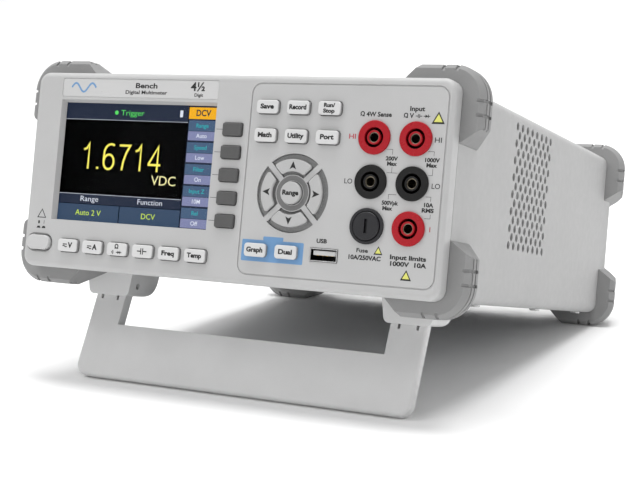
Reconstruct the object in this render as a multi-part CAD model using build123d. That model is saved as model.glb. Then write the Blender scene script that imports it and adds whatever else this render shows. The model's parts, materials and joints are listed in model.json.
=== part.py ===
"""Bench multimeter: a metal case with a moulded front panel, corner bumpers and a tilt handle.

Everything is drawn upright in the case's own frame: X to the right, Y from the front face to the
rear, Z up, origin at the centre of the front face. At the end the whole instrument is tilted back
until it stands on its handle and its two rear lower bumpers, and is moved so that the origin lies
at the bottom centre of its box. All sizes are millimetres and degrees.
"""
from build123d import *
from math import asin, atan2, cos, degrees, hypot, radians, sin
import os

# ---- front panel layout, from the left edge to the right edge -----------------------------------
side_margin = 15.0        # case edge to screen opening
screen_w = 86.2           # screen opening
screen_h = 58.0
soft_gap = 4.6            # screen opening to the soft key column
soft_key_w = 9.7
soft_key_h = 5.8
soft_key_pitch = 10.35
frame_gap = 3.3           # soft keys to the border groove
frame_inset = 9.2         # border groove to the first key column's centre line
key_pitch_x = 15.2
jack_offset = 21.8        # last key column to the first socket column
jack_pitch = 19.05        # standard pitch of 4 mm safety sockets
right_margin = 15.75      # last socket column to the case edge

# ---- front panel layout, from the top edge to the bottom edge -----------------------------------
screen_drop = 13.0        # case top to screen opening
key_row_drop = 14.4       # case top to the first key row
key_pitch_z = 12.7
pad_rise = 0.55           # round key pad above the middle of the key rows over and under it
lower_margin = 15.8       # bottom key row to the case bottom
jack_drop = 26.3          # case top to the first socket row
function_drop = 12.0      # screen opening to the function key row
function_margin = 11.0    # function key row to the case bottom
soft_key_drop = 12.0      # screen opening top to the first soft key

# ---- case -----------------------------------------------------------------------------------------
case_back = 284.0         # rear edge of the cover, from the front face
case_corner_r = 5.5
cover_t = 1.2
base_t = 1.5
rear_panel_t = 1.5
rear_panel_inset = 2.0
sheet_gap = 0.1
cover_flange = 12.5       # inward fold along each lower edge of the cover
seam_gap = 0.4            # shadow gap between the panel and the cover
vent_r = 2.0
vent_rows = 15
vent_columns = 8
vent_pitch_y = 8.15
vent_pitch_z = 4.06
vent_front = 89.0         # first vent column, from the front face
vent_drop = 7.7           # case top to the first vent row

# ---- front panel moulding ---------------------------------------------------------------------------
bezel_d = 9.0
bezel_wall = 3.0
bezel_edge_r = 2.5
face_t = 3.0
lip_inset = 2.0
lip_wall = 1.6
lip_d = 6.0
screen_taper = 1.2        # the screen opening's walls slope inwards by this much
screen_foot_taper = 0.2   # its lower wall is nearly square to the panel
plate_h = 8.6             # name plate strip above the screen
plate_gap = 1.4           # name plate to screen opening
plate_t = 0.5
groove_w = 0.6
groove_d = 0.4
groove_r = 5.0
groove_margin_top = 3.5
groove_margin_side = 2.0

# ---- keys ------------------------------------------------------------------------------------------
key_w = 10.8
key_h = 6.0
key_r = 1.5
key_proud = 2.0
soft_proud = 1.5
key_gap = 0.3             # side clearance of a key in its opening
key_edge_r = 0.5
key_flange = 0.8          # width of the collar that holds a key behind the panel
key_flange_t = 1.0
key_play = 0.1            # collar to the back of the panel
key_travel = 1.0
plunger_r = 1.8
mat_hole_r = 2.4
function_pitch = 14.05
function_inset = 12.2     # screen opening's left edge to the first function key
function_w = 11.0
pad_r = 17.5              # round key pad
pad_key_out = 15.0
pad_key_in = 9.5
pad_hub_r = 8.2
pad_spoke = 2.5
pad_sink = 1.0            # the arrow keys' skirts lie this far below the panel's face
pad_proud = 1.5
pad_corner_r = 1.0
range_key_r = 5.0
power_w = 13.0
power_h = 7.0
power_proud = 1.8
power_travel = 2.0
power_engage = 1.5        # length of the plunger inside the switch at rest
power_moat = 1.0          # width of the sunk ring round the power button
power_moat_d = 1.2
power_inset = 9.5         # case edge to the power button's centre
power_rise = 11.5         # case bottom to the power button's centre

# ---- boards, display -------------------------------------------------------------------------------
board_t = 1.6
mat_t = 0.9
key_board_y = 6.4
window_t = 1.0
window_lap = 1.5          # window reaches this far behind the panel on each side
lcd_t = 6.2
post_r = 2.4
screw_r = 1.5
screw_head_r = 2.8
screw_head_t = 1.1

# ---- sockets and fuse holder -------------------------------------------------------------------------
jack_bore_r = 2.0         # 4 mm plug
jack_sleeve_t = 0.3
jack_ring_t = 0.8         # insulating ring round the sleeve
jack_shroud_r = 4.35      # annular space for the plug's shroud
jack_barrel_r = 5.3
jack_flange_r = 7.4
jack_proud = 1.0
jack_depth = 24.0
jack_floor = 4.0
jack_recess = 0.5         # sleeve's mouth below the flange
jack_tail_r = 1.2
jack_tail = 9.0
jack_end_t = 1.0          # closed end of the sleeve
nut_r = 7.6
nut_t = 2.5
hole_gap = 0.2            # barrels in the panel's holes
fuse_flange_r = 7.75
fuse_barrel_r = 7.0
fuse_cap_r = 6.2
fuse_cap_gap = 0.3
fuse_cap_proud = 1.7
fuse_cap_d = 8.0
fuse_slot_w = 1.4
fuse_slot_l = 6.2
fuse_slot_d = 1.3
fuse_r = 2.6
fuse_len = 20.0
fuse_gap = 0.25

# ---- ports -------------------------------------------------------------------------------------------
usb_w = 13.1
usb_h = 5.7
usb_shell = 0.4
usb_d = 14.0
usb_shift = 2.6           # port centre right of the last key column

# ---- bumpers -----------------------------------------------------------------------------------------
bumper_side = 10.0        # how far a bumper stands out at the sides
bumper_top = 7.5          # the same above and below
bumper_r = 15.0
bumper_gap = 0.05
bumper_band = 10.5        # front edge to the end of the outer band
bumper_slope = 12.9
bumper_tail = 0.6         # what still stands out where the slope runs into the case
bumper_edge_y = 2.5       # the front edge is cut back by these three
bumper_edge_side = 2.6
bumper_edge_top = 1.9
bumper_arm_x = 28.0       # length of the arm along the top or bottom, at the case
bumper_arm_z = 26.5       # length of the arm down or up the side, at the case
bumper_side_cut = 0.7     # slope of the side arm's end, as a share of its height
rib_depth = 1.1
rib_w = 1.4
rib_pitch = 6.2
rib_side_z = 8.0          # case top to the first cross groove on the side
rib_top_x = 3.5           # case side to the first cross groove on the top
band_groove_y = 3.4       # front edge of a front bumper to the first groove round it
band_groove_pitch = 3.9
rear_bumper_lap = 15.0    # how far a rear bumper reaches forward along the case
rear_bumper_edge = 2.5
rear_bumper_flat = 2.5
rear_bumper_slope = 16.0
rear_bumper_end = 4.0
rear_bumper_edge_side = 2.4
rear_bumper_edge_top = 1.9
rear_bumper_drop_side = 4.0
rear_bumper_drop_top = 3.6
rear_groove_y = 7.6       # front edge of a rear bumper to the first groove round it
rear_bumper_hold = 9.0    # how far it reaches in over the rear panel

# ---- handle and its hinge blocks -----------------------------------------------------------------------
handle_w = 178.6
handle_arm = 17.6
handle_t = 6.0
handle_reach = 48.3       # pivot to the foot's edge
handle_bar = 27.0
handle_corner_r = 6.0
handle_edge_r = 1.5
handle_lean = 18.1        # forward of straight down, at the stop
handle_slot_w = 1.3
handle_slot_top = 5.2
handle_slot_end = 8.7
handle_slot_pitch = 9.1
barrel_r = 4.2
pin_r = 1.6
pin_gap = 0.05
pivot_y = 43.4
pivot_drop = 6.2          # pivot below the case bottom
block_front = 36.2
block_back = 61.0
block_h = 11.4
block_cheek = 2.4
block_draft = 1.8
block_side_gap = 0.25
block_web = 1.5
block_back_r = 8.5
block_foot_r = 3.0
stop_gap = 0.1

# ---- rear and inside -------------------------------------------------------------------------------------
inlet_w = 27.0
inlet_h = 20.0
inlet_cavity_w = 24.4
inlet_cavity_h = 16.4
inlet_d = 22.0
inlet_floor = 4.0
inlet_flange = 50.0
inlet_flange_t = 2.5
inlet_screw_pitch = 40.0
inlet_x = -62.0
inlet_z = -14.0
usb_b_w = 12.0
usb_b_h = 10.8
usb_b_x = 20.0
trigger_x = 52.0
trigger_pitch = 26.0
trigger_r = 4.8
trigger_pin_r = 0.8
rear_port_z = -20.0
board_h = 12.0            # main board above the base
board_w = 140.0
board_end_gap = 50.0      # main board to the rear panel's face
board_front = 62.0
board_x = 27.0
standoff_r = 3.0
transformer_w = 46.0
transformer_l = 56.0
transformer_h = 44.0
transformer_x = -69.0
transformer_setback = 77.0    # transformer's centre to the rear panel's face
power_switch_l = 18.0
case_screw_inset = 9.0

# ---- worked out from the sizes above -----------------------------------------------------------------------
key_columns_w = 2 * key_pitch_x
case_w = (side_margin + screen_w + soft_gap + soft_key_w + frame_gap + frame_inset
          + key_columns_w + jack_offset + jack_pitch + right_margin)
case_h = screen_drop + screen_h + function_drop + function_margin
left = -case_w / 2
right = case_w / 2
top = case_h / 2
bottom = -case_h / 2
screen_left = left + side_margin
screen_right = screen_left + screen_w
screen_top = top - screen_drop
screen_bottom = screen_top - screen_h
screen_x = (screen_left + screen_right) / 2
screen_z = (screen_top + screen_bottom) / 2
soft_x = screen_right + soft_gap + soft_key_w / 2
groove_left = screen_right + soft_gap + soft_key_w + frame_gap
key_x = [groove_left + frame_inset + i * key_pitch_x for i in range(3)]
key_row_1 = top - key_row_drop
key_row_2 = key_row_1 - key_pitch_z
pad_x = key_x[1]
lower_row = bottom + lower_margin
pad_z = (key_row_2 + lower_row) / 2 + pad_rise
jack_x = [key_x[2] + jack_offset, key_x[2] + jack_offset + jack_pitch]
jack_z = [top - jack_drop - i * jack_pitch for i in range(3)]
function_z = screen_bottom - function_drop
usb_x = key_x[2] + usb_shift
usb_z = lower_row
power_x = left + power_inset
power_z = bottom + power_rise
board_right = usb_x + usb_w / 2 + 1.0
flange_y = face_t + key_play
mat_y = key_board_y - mat_t
rear_face = case_back - rear_panel_inset
board_l = rear_face - board_end_gap - board_front
transformer_y = rear_face - transformer_setback
rear_bumper_y = [case_back - rear_bumper_lap]
for run in (rear_bumper_edge, rear_bumper_flat, rear_bumper_slope, rear_bumper_end):
    rear_bumper_y.append(rear_bumper_y[-1] + run)
power_switch_y = key_board_y + board_t + sheet_gap
power_plunger_end = power_switch_y + power_engage
pad_key_middle = (pad_key_in + pad_key_out) / 2
pivot_z = bottom - pivot_drop
block_foot = bottom - block_h
barrel_x = handle_w / 2 - handle_arm / 2


# ---- small helpers ---------------------------------------------------------------------------------------------
def box(x0, x1, y0, y1, z0, z1):
    """A block between two corners."""
    return Pos((x0 + x1) / 2, (y0 + y1) / 2, (z0 + z1) / 2) * Box(x1 - x0, y1 - y0, z1 - z0)


def slab(sketch, y0, y1):
    """A sketch drawn in X and Z, made solid from depth y0 to depth y1."""
    return extrude(Plane.XZ.offset(-y1) * sketch, amount=y1 - y0, dir=(0, -1, 0))


def rod(x, z, r, y0, y1):
    """A round bar along Y."""
    return slab(Pos(x, z) * Circle(r), y0, y1)


def tube(x, z, r_out, r_in, y0, y1):
    return slab(Pos(x, z) * (Circle(r_out) - Circle(r_in)), y0, y1)


def cross_rod(x0, x1, y, z, r):
    """A round bar along X."""
    return Pos((x0 + x1) / 2, y, z) * Rot(0, 90, 0) * Cylinder(r, x1 - x0)


def upright(x, y, r, z0, z1):
    """A round bar along Z."""
    return Pos(x, y, (z0 + z1) / 2) * Cylinder(r, z1 - z0)


def case_outline(grow):
    """The case's outer outline, made larger all round by grow, or smaller where it is negative."""
    r = max(case_corner_r + grow, 0.5)
    return RectangleRounded(case_w + 2 * grow, case_h + 2 * grow, r)


def lofted(stations):
    """A solid through rounded rectangles: each station is depth, width, height, corner radius."""
    faces = [Plane.XZ.offset(-y) * RectangleRounded(w, h, r) for y, w, h, r in stations]
    return loft(faces, ruled=True)


def mirrored(shape, left_side, lower_side):
    if left_side:
        shape = mirror(shape, about=Plane.YZ)
    if lower_side:
        shape = mirror(shape, about=Plane.XY)
    return shape


# ---- keys ------------------------------------------------------------------------------------------------------
def key(outline, x, z, proud, flange=None, plunger_end=key_board_y - key_travel - 0.2):
    """A key: rounded cap through the panel, a collar behind it and a plunger to the board."""
    cap = slab(Pos(x, z) * outline(0), -proud, flange_y + key_flange_t)
    cap = fillet(cap.faces().sort_by(Axis.Y)[0].edges(), key_edge_r)
    collar = slab(Pos(x, z) * (flange or outline(key_flange)), flange_y, flange_y + key_flange_t)
    return cap + collar + rod(x, z, plunger_r, flange_y, plunger_end)


def key_outline(w, h, r):
    return lambda grow: RectangleRounded(w + 2 * grow, h + 2 * grow, r + grow)


def pad_sector(r_in, r_out, spoke):
    """The upper quarter of the round pad, with parallel gaps to its neighbours."""
    shift = spoke / 2 * 2 ** 0.5
    wedge = Polygon((0, shift), (pad_r * 2, shift + pad_r * 2), (-pad_r * 2, shift + pad_r * 2), align=None)
    return (Circle(r_out) - Circle(r_in)) & wedge


def up_arrow_key():
    """The upper arrow key: a raised arc on a sunk skirt that fills its window in the panel."""
    gap = pad_spoke + 2 * key_gap
    skirt = slab(pad_sector(pad_hub_r + key_gap, pad_r - key_gap, gap), pad_sink, flange_y + key_flange_t)
    outline = pad_sector(pad_key_in, pad_key_out, gap + 2 * key_gap)
    cap = slab(fillet(outline.vertices(), pad_corner_r), -pad_proud, pad_sink)
    cap = fillet(cap.faces().sort_by(Axis.Y)[0].edges(), key_edge_r)
    collar = slab(pad_sector(pad_hub_r + key_gap, pad_r + key_flange, gap), flange_y, flange_y + key_flange_t)
    return skirt + cap + collar + rod(0, pad_key_middle, plunger_r, flange_y, key_board_y - key_travel - 0.2)


def on_pad(turn):
    """From the upper quarter of a pad at the origin to another quarter of the real pad."""
    return Pos(pad_x, 0, pad_z) * Rot(0, turn, 0)


square_key = key_outline(key_w, key_h, key_r)
function_key = key_outline(function_w, key_h, key_r)
soft_key = key_outline(soft_key_w, soft_key_h, 0.8)

key_places = {
    "save_key": (key_x[0], key_row_1),
    "record_key": (key_x[1], key_row_1),
    "run_stop_key": (key_x[2], key_row_1),
    "math_key": (key_x[0], key_row_2),
    "utility_key": (key_x[1], key_row_2),
    "port_key": (key_x[2], key_row_2),
    "graph_key": (key_x[0], lower_row),
    "dual_key": (key_x[1], lower_row),
}
function_names = ["voltage_key", "current_key", "resistance_key", "capacitance_key", "frequency_key",
                  "temperature_key"]
function_places = {}
for i, name in enumerate(function_names):
    function_places[name] = (screen_left + function_inset + i * function_pitch, function_z)
soft_places = {}
for i in range(5):
    soft_places[f"soft_key_{i + 1}"] = (soft_x, screen_top - soft_key_drop - i * soft_key_pitch)
arrow_turns = {"up_key": 0, "right_key": 90, "down_key": 180, "left_key": 270}


def power_outline(grow):
    return SlotOverall(power_w + 2 * grow, power_h + 2 * grow)


def make_keys():
    keys = {}
    for name, (x, z) in key_places.items():
        keys[name] = key(square_key, x, z, key_proud)
    for name, (x, z) in function_places.items():
        keys[name] = key(function_key, x, z, key_proud)
    for name, (x, z) in soft_places.items():
        keys[name] = key(soft_key, x, z, soft_proud)
    arrow = up_arrow_key()
    for name, turn in arrow_turns.items():
        keys[name] = on_pad(turn) * arrow
    keys["range_key"] = key(lambda grow: Circle(range_key_r + grow), pad_x, pad_z, key_proud)
    collar = Rectangle(power_w - 3.0, power_h + 2 * key_flange)
    keys["power_button"] = key(power_outline, power_x, power_z, power_proud, collar, power_plunger_end)
    return keys


def plunger_places():
    """Every plunger's centre, for the holes in the mat."""
    places = list(key_places.values()) + list(function_places.values()) + list(soft_places.values())
    for turn in arrow_turns.values():
        x = pad_x + pad_key_middle * sin(radians(turn))
        z = pad_z + pad_key_middle * cos(radians(turn))
        places.append((x, z))
    places.append((pad_x, pad_z))
    return places


# ---- front panel -------------------------------------------------------------------------------------------------
def post_places():
    """Screw posts that hold the key board."""
    near_left = screen_left - 7.5
    near_right = key_x[2] + 6.0
    return [(near_left, screen_top - 2), (near_left, screen_bottom + 6),
            (near_right, key_row_2 - 11.5), (near_right, pad_z - 7)]


def screen_cut():
    """The screen opening: its walls slope in towards the window."""
    back = Rectangle(screen_w - 2 * screen_taper, screen_h - screen_taper - screen_foot_taper)
    back_z = screen_z - (screen_taper - screen_foot_taper) / 2
    stations = [Plane.XZ.offset(0.01) * Pos(screen_x, screen_z) * Rectangle(screen_w, screen_h),
                Plane.XZ.offset(-face_t - 0.01) * Pos(screen_x, back_z) * back]
    return loft(stations, ruled=True)


def border_groove():
    x0 = groove_left
    x1 = right - groove_margin_side
    h = case_h - 2 * groove_margin_top - 1.0
    place = Pos((x0 + x1) / 2, 0.5)
    ring = RectangleRounded(x1 - x0, h, groove_r)
    ring -= RectangleRounded(x1 - x0 - 2 * groove_w, h - 2 * groove_w, groove_r - groove_w)
    return slab(place * ring, -1, groove_d)


def name_plate_outline(grow):
    z = screen_top + plate_gap + plate_h / 2
    return Pos(screen_x, z) * RectangleRounded(screen_w + 2 * grow, plate_h + 2 * grow, 1.0 + grow)


def panel_openings():
    cuts = [screen_cut(), border_groove(), slab(name_plate_outline(sheet_gap), -1, plate_t)]
    for x, z in key_places.values():
        cuts.append(slab(Pos(x, z) * square_key(key_gap), -1, face_t + 1))
    for x, z in function_places.values():
        cuts.append(slab(Pos(x, z) * function_key(key_gap), -1, face_t + 1))
    for x, z in soft_places.values():
        cuts.append(slab(Pos(x, z) * soft_key(key_gap), -1, face_t + 1))
    window = slab(pad_sector(pad_hub_r, pad_r, pad_spoke), -1, face_t + 1)
    cuts += [on_pad(turn) * window for turn in arrow_turns.values()]
    cuts.append(rod(pad_x, pad_z, range_key_r + key_gap, -1, face_t + 1))
    cuts.append(slab(Pos(power_x, power_z) * power_outline(key_gap), -1, face_t + 1))
    cuts.append(slab(Pos(power_x, power_z) * power_outline(power_moat), -1, power_moat_d))
    for x, z in jack_places():
        cuts.append(rod(x, z, jack_barrel_r + hole_gap, -1, face_t + 1))
    cuts.append(rod(jack_x[0], jack_z[2], fuse_barrel_r + hole_gap, -1, face_t + 1))
    cuts.append(slab(Pos(usb_x, usb_z) * Rectangle(usb_w + 2 * hole_gap, usb_h + 2 * hole_gap), -1, face_t + 1))
    return cuts


def make_front_panel():
    shell = slab(case_outline(0), 0, bezel_d)
    shell = fillet(shell.faces().sort_by(Axis.Y)[0].edges(), bezel_edge_r)
    shell -= slab(case_outline(-bezel_wall), face_t, bezel_d + 1)
    shell += slab(case_outline(-lip_inset) - case_outline(-lip_inset - lip_wall), bezel_d, bezel_d + lip_d)
    shell -= panel_openings()
    for x, z in post_places():
        shell += tube(x, z, post_r, screw_r, face_t, key_board_y)
    return shell


def make_display():
    w = screen_w + 2 * window_lap - 2 * screen_taper
    h = screen_h + 2 * window_lap - 2 * screen_taper
    glass_y = face_t + sheet_gap
    place = Pos(screen_x, screen_z)
    window = slab(place * Rectangle(w, h), glass_y, glass_y + window_t)
    lcd_y = glass_y + window_t + sheet_gap
    module = slab(place * Rectangle(w, h), lcd_y, lcd_y + lcd_t)
    return window, module


def board_outline(grow):
    """The key board's outline, with a window for the display module and a notch at the USB port."""
    x0 = left + bezel_wall + 1.0
    h = case_h - 2 * bezel_wall - 2.0
    w = screen_w + 2 * window_lap - 2 * screen_taper
    module_h = screen_h + 2 * window_lap - 2 * screen_taper
    outline = Pos((x0 + board_right) / 2, 0) * Rectangle(board_right - x0, h)
    outline -= Pos(screen_x, screen_z) * Rectangle(w + 1.0 + 2 * grow, module_h + 1.0 + 2 * grow)
    outline -= Pos(usb_x, usb_z) * Rectangle(usb_w + 2 * hole_gap + 2 * grow, usb_h + 2 * hole_gap + 2 * grow)
    return outline


def make_key_board():
    holes = [rod(x, z, screw_r + 0.1, 0, 20) for x, z in post_places()]
    holes.append(rod(power_x, power_z, mat_hole_r, 0, 20))
    return slab(board_outline(0), key_board_y, key_board_y + board_t) - holes


def make_keypad_mat():
    holes = [rod(x, z, mat_hole_r, 0, 20) for x, z in plunger_places()]
    holes += [rod(x, z, post_r + 0.3, 0, 20) for x, z in post_places()]
    button = Pos(power_x, power_z) * Rectangle(power_w + 3.0, power_h + 3.0)
    holes.append(slab(button, 0, 20))
    return slab(board_outline(0.5), mat_y, key_board_y) - holes


# ---- sockets, fuse, port -----------------------------------------------------------------------------------------
def jack_places():
    """Five sockets: two columns of two, and one below the right-hand column."""
    return [(jack_x[0], jack_z[0]), (jack_x[1], jack_z[0]), (jack_x[0], jack_z[1]),
            (jack_x[1], jack_z[1]), (jack_x[1], jack_z[2])]


def jack_body(x, z):
    """Insulator: flange, barrel, and a ring in the middle that guards the sleeve."""
    sleeve_r = jack_bore_r + jack_sleeve_t
    body = rod(x, z, jack_flange_r, -jack_proud, 0)
    body = fillet(body.faces().sort_by(Axis.Y)[0].edges(), 0.4)
    body += rod(x, z, jack_barrel_r, 0, jack_depth)
    body -= tube(x, z, jack_shroud_r, sleeve_r + jack_ring_t, -jack_proud - 1, jack_depth - jack_floor)
    return body - rod(x, z, sleeve_r, -jack_proud - 1, jack_depth + 1)


def jack_contact(x, z):
    """Metal sleeve with its solder tail."""
    sleeve_r = jack_bore_r + jack_sleeve_t
    sleeve = rod(x, z, sleeve_r, jack_recess - jack_proud, jack_depth)
    sleeve += rod(x, z, jack_tail_r, jack_depth, jack_depth + jack_tail)
    return sleeve - rod(x, z, jack_bore_r, jack_recess - jack_proud - 1, jack_depth - jack_end_t)


def jack_nut(x, z, r):
    across = RegularPolygon(r, 6)
    ring = across - Circle(jack_barrel_r)
    return slab(Pos(x, z) * ring, face_t, face_t + nut_t)


def make_fuse_parts():
    x, z = jack_x[0], jack_z[2]
    seat_r = fuse_cap_r + fuse_cap_gap
    cap_end = fuse_cap_d
    fuse_y = cap_end + fuse_gap
    holder_end = fuse_y + fuse_len + 4.0
    holder = rod(x, z, fuse_flange_r, -jack_proud, 0)
    holder += rod(x, z, fuse_barrel_r, 0, holder_end)
    holder -= rod(x, z, seat_r, -jack_proud - 1, cap_end + fuse_gap)
    holder -= rod(x, z, fuse_r + fuse_gap, 0, fuse_y + fuse_len + fuse_gap)
    cap = rod(x, z, fuse_cap_r, -fuse_cap_proud, cap_end)
    cap = fillet(cap.faces().sort_by(Axis.Y)[0].edges(), 0.6)
    cap -= box(x - fuse_slot_w / 2, x + fuse_slot_w / 2, -fuse_cap_proud - 1, fuse_slot_d - fuse_cap_proud,
               z - fuse_slot_l / 2, z + fuse_slot_l / 2)
    fuse = rod(x, z, fuse_r, fuse_y, fuse_y + fuse_len)
    fuse -= tube(x, z, fuse_r + 1, fuse_r - 0.15, fuse_y + 5, fuse_y + fuse_len - 5)
    return holder, cap, fuse


def make_usb_host_port():
    place = Pos(usb_x, usb_z)
    shell = slab(place * Rectangle(usb_w, usb_h), -0.3, usb_d)
    shell -= slab(place * Rectangle(usb_w - 2 * usb_shell, usb_h - 2 * usb_shell), -1, usb_d - 1.5)
    tongue = slab(Pos(usb_x, usb_z + 0.9) * Rectangle(usb_w - 2.4, 1.8), 1.0, usb_d - 1.5)
    return shell + tongue


# ---- case --------------------------------------------------------------------------------------------------------
def vent_places():
    """Centres of the staggered vent holes, as depth and height."""
    places = []
    for row in range(vent_rows):
        staggered = row % 2
        for column in range(vent_columns - staggered):
            y = vent_front + (column + staggered / 2) * vent_pitch_y
            places.append((y, top - vent_drop - row * vent_pitch_z))
    return places


def screw_places():
    """Case screws along the two lower flanges."""
    rows = [block_back + 12.0, (block_back + case_back) / 2, rear_bumper_y[0] - 12.0]
    return [(side * (right - case_screw_inset), y) for side in (-1, 1) for y in rows]


def make_case_cover():
    ring = case_outline(0) - case_outline(-cover_t)
    cover = slab(ring, bezel_d + seam_gap, case_back)
    gap_x = right - cover_flange
    cover -= box(-gap_x, gap_x, 0, case_back + 1, bottom - 1, bottom + cover_t + 1)
    cover -= [cross_rod(left - 1, right + 1, y, z, vent_r) for y, z in vent_places()]
    return cover - [upright(x, y, screw_r + 0.2, bottom - 1, bottom + 3) for x, y in screw_places()]


def standoff_places():
    return [(board_x + sx * (board_w / 2 - 6), board_front + board_l / 2 + sy * (board_l / 2 - 6))
            for sx in (-1, 1) for sy in (-1, 1)]


def make_base_plate():
    half = right - cover_flange - sheet_gap
    front = bezel_d + seam_gap
    plate = box(-half, half, front, case_back, bottom, bottom + base_t)
    rail_z = bottom + cover_t + sheet_gap
    for side in (-1, 1):
        x0, x1 = sorted((side * (half - 2), side * (right - case_corner_r)))
        plate += box(x0, x1, bezel_d + lip_d + 1, case_back - 1, rail_z, rail_z + base_t)
    for x, y in standoff_places():
        plate += upright(x, y, standoff_r, bottom + base_t, bottom + base_t + board_h)
    cuts = [upright(x, y, screw_r, bottom - 1, bottom + 5) for x, y in screw_places()]
    cuts += [upright(x, y, screw_r, bottom - 1, bottom + base_t + board_h + 1) for x, y in standoff_places()]
    for i in range(-6, 7):
        slot = Pos(i * 10.0, (block_back + case_back) / 2, bottom) * Box(3.0, 36.0, 6.0)
        cuts.append(fillet(slot.edges().filter_by(Axis.Z), 1.4))
    return plate - cuts


def make_rear_panel():
    inset = cover_t + sheet_gap
    rail_top = bottom + cover_t + sheet_gap + base_t
    z0 = rail_top + sheet_gap
    panel = slab(case_outline(-inset), rear_face - rear_panel_t, rear_face)
    panel &= box(left, right, rear_face - rear_panel_t, rear_face, z0, top)
    cuts = [box(inlet_x - inlet_w / 2, inlet_x + inlet_w / 2, 0, 400, inlet_z - inlet_h / 2, inlet_z + inlet_h / 2)]
    for side in (-1, 1):
        cuts.append(rod(inlet_x + side * inlet_screw_pitch / 2, inlet_z, screw_r, 0, 400))
        cuts.append(rod(trigger_x + (side + 1) / 2 * trigger_pitch, rear_port_z, trigger_r + hole_gap, 0, 400))
    cuts.append(box(usb_b_x - usb_b_w / 2 - hole_gap, usb_b_x + usb_b_w / 2 + hole_gap, 0, 400,
                    rear_port_z - usb_b_h / 2 - hole_gap, rear_port_z + usb_b_h / 2 + hole_gap))
    for row in range(5):
        for column in range(16 - row % 2):
            x = (column + row % 2 / 2 - 7.5) * vent_pitch_y
            cuts.append(rod(x, top - 16 - row * vent_pitch_z, vent_r * 0.8, 0, 400))
    return panel - cuts


# ---- bumpers -------------------------------------------------------------------------------------------------------
def corner_region(y0, y1):
    """The part of space that the upper right bumper takes up, with its arms' ends cut aslant."""
    x0 = right - bumper_arm_x
    z0 = top - bumper_arm_z
    far = bumper_r * 3
    rise = far * bumper_side_cut
    outline = Polygon((x0 - far, top - far), (x0, top), (x0 + far, top + far), (right + far, top + far),
                      (right + far, z0 + rise), (right, z0), (right - far, z0 - rise), align=None)
    return slab(outline, y0, y1)


def bumper_body(runs, grow=0.0):
    """A solid whose outer skin follows runs, each of them depth, stand-out at the side, at the top, and radius."""
    return lofted([(y, case_w + 2 * (side + grow), case_h + 2 * (high + grow), r + grow)
                   for y, side, high, r in runs])


def bumper_grooves(runs, bands, end):
    """Grooves of even depth in the upper right bumper's skin: two across each arm, and bands round it."""
    skin = bumper_body(runs) - bumper_body(runs, -rib_depth)
    start = runs[0][0] - 1
    half = rib_w / 2
    far = bumper_r * 2
    cutters = []
    for i in range(2):
        z = top - rib_side_z - i * rib_pitch
        x = right - rib_top_x - i * rib_pitch
        cutters.append(box(right, right + far, start, end, z - half, z + half))
        cutters.append(box(x - half, x + half, start, end, top, top + far))
    for y in bands:
        cutters.append(box(right - bumper_arm_x, right + far, y - half, y + half, top - bumper_arm_z, top + far))
    return [skin & cutter for cutter in cutters]


def front_bumper_runs():
    front = bezel_d + bumper_edge_y
    band = bezel_d + bumper_band
    return [(bezel_d, bumper_side - bumper_edge_side, bumper_top - bumper_edge_top, bumper_r - bumper_edge_side),
            (front, bumper_side, bumper_top, bumper_r),
            (band, bumper_side, bumper_top, bumper_r),
            (band + bumper_slope, bumper_tail, bumper_tail, case_corner_r + bumper_tail)]


def rear_bumper_runs():
    y = rear_bumper_y
    side = bumper_side - rear_bumper_drop_side
    high = bumper_top - rear_bumper_drop_top
    return [(y[0], bumper_side - rear_bumper_edge_side, bumper_top - rear_bumper_edge_top,
             bumper_r - rear_bumper_edge_side),
            (y[1], bumper_side, bumper_top, bumper_r),
            (y[2], bumper_side, bumper_top, bumper_r),
            (y[3], side, high, bumper_r - rear_bumper_drop_side),
            (y[4], side - rear_bumper_drop_side, high - rear_bumper_drop_top, bumper_r - 2 * rear_bumper_drop_side)]


def make_front_bumper():
    runs = front_bumper_runs()
    solid = bumper_body(runs)
    solid -= slab(case_outline(bumper_gap), bezel_d - 1, runs[-1][0] + 1)
    solid &= corner_region(bezel_d - 1, runs[-1][0] + 1)
    first = bezel_d + band_groove_y
    return solid - bumper_grooves(runs, [first, first + band_groove_pitch], runs[2][0])


def make_rear_bumper():
    runs = rear_bumper_runs()
    front = runs[0][0]
    back = runs[-1][0]
    solid = bumper_body(runs)
    solid -= slab(case_outline(bumper_gap), front - 1, case_back + bumper_gap)
    solid -= slab(case_outline(-rear_bumper_hold), case_back - 1, back + 1)
    solid &= corner_region(front - 1, back + 1)
    first = front + rear_groove_y
    return solid - bumper_grooves(runs, [first, first + band_groove_pitch], runs[3][0])


# ---- handle ----------------------------------------------------------------------------------------------------------
def handle_frame():
    """From the handle's own frame, hanging straight down from its pivot, to its place on the case."""
    return Pos(0, pivot_y, pivot_z) * Rot(-handle_lean, 0, 0)


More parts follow.
